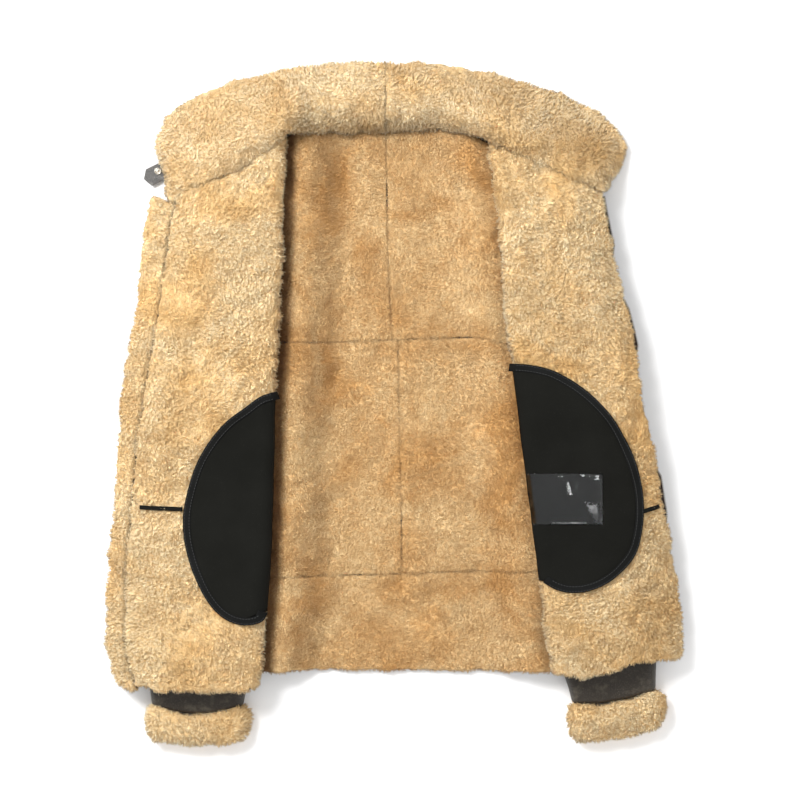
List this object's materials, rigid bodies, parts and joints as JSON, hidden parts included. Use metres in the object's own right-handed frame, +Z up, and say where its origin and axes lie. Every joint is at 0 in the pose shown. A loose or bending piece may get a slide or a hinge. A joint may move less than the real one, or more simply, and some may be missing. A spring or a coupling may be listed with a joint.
{
  "type": "shearling flight jacket",
  "caption": "Shearling flight jacket laid open wool side up: Z-folded fronts, wide wool collar, sleeves folded under, black half-moon pocket bags.",
  "frame": {"origin": "on the floor under the middle of the laid-out garment", "axes": "+X towards the wearer's left, +Y from hem to collar, +Z up off the surface it lies on"},
  "size_m": [0.707, 0.8375, 0.0746],
  "materials": {
    "wool": "clipped curly wool, honey beige",
    "wool_back": "clipped curly wool, tan",
    "leather": "dark brown grained leather",
    "cloth": "black matt cotton twill",
    "binding": "black ribbed binding tape",
    "vinyl": "clear glossy soft vinyl",
    "tab": "worn grey-black leather",
    "metal": "aged nickel"
  },
  "bodies": {
    "root": {"back_upper_right": "wool_back", "back_upper_left": "wool_back", "back_lower_right": "wool_back", "back_lower_left": "wool_back", "back_hem_band": "wool_back", "front_right": "wool", "front_left": "wool", "wind_flap": "wool", "collar_right": "wool", "collar_left": "wool", "cuff_right": "wool", "cuff_left": "wool", "sleeve_right": "leather", "sleeve_left": "leather", "pocket_bag_right": "cloth", "pocket_bag_left": "cloth", "pocket_binding_right": "binding", "pocket_binding_left": "binding", "stay_tape_right": "cloth", "stay_tape_left": "cloth", "zip_tape_right": "cloth", "zip_tape_left": "cloth", "id_window": "vinyl", "zip_slider": "metal", "collar_tab": "tab", "collar_snap": "metal"}
  },
  "joints": []
}
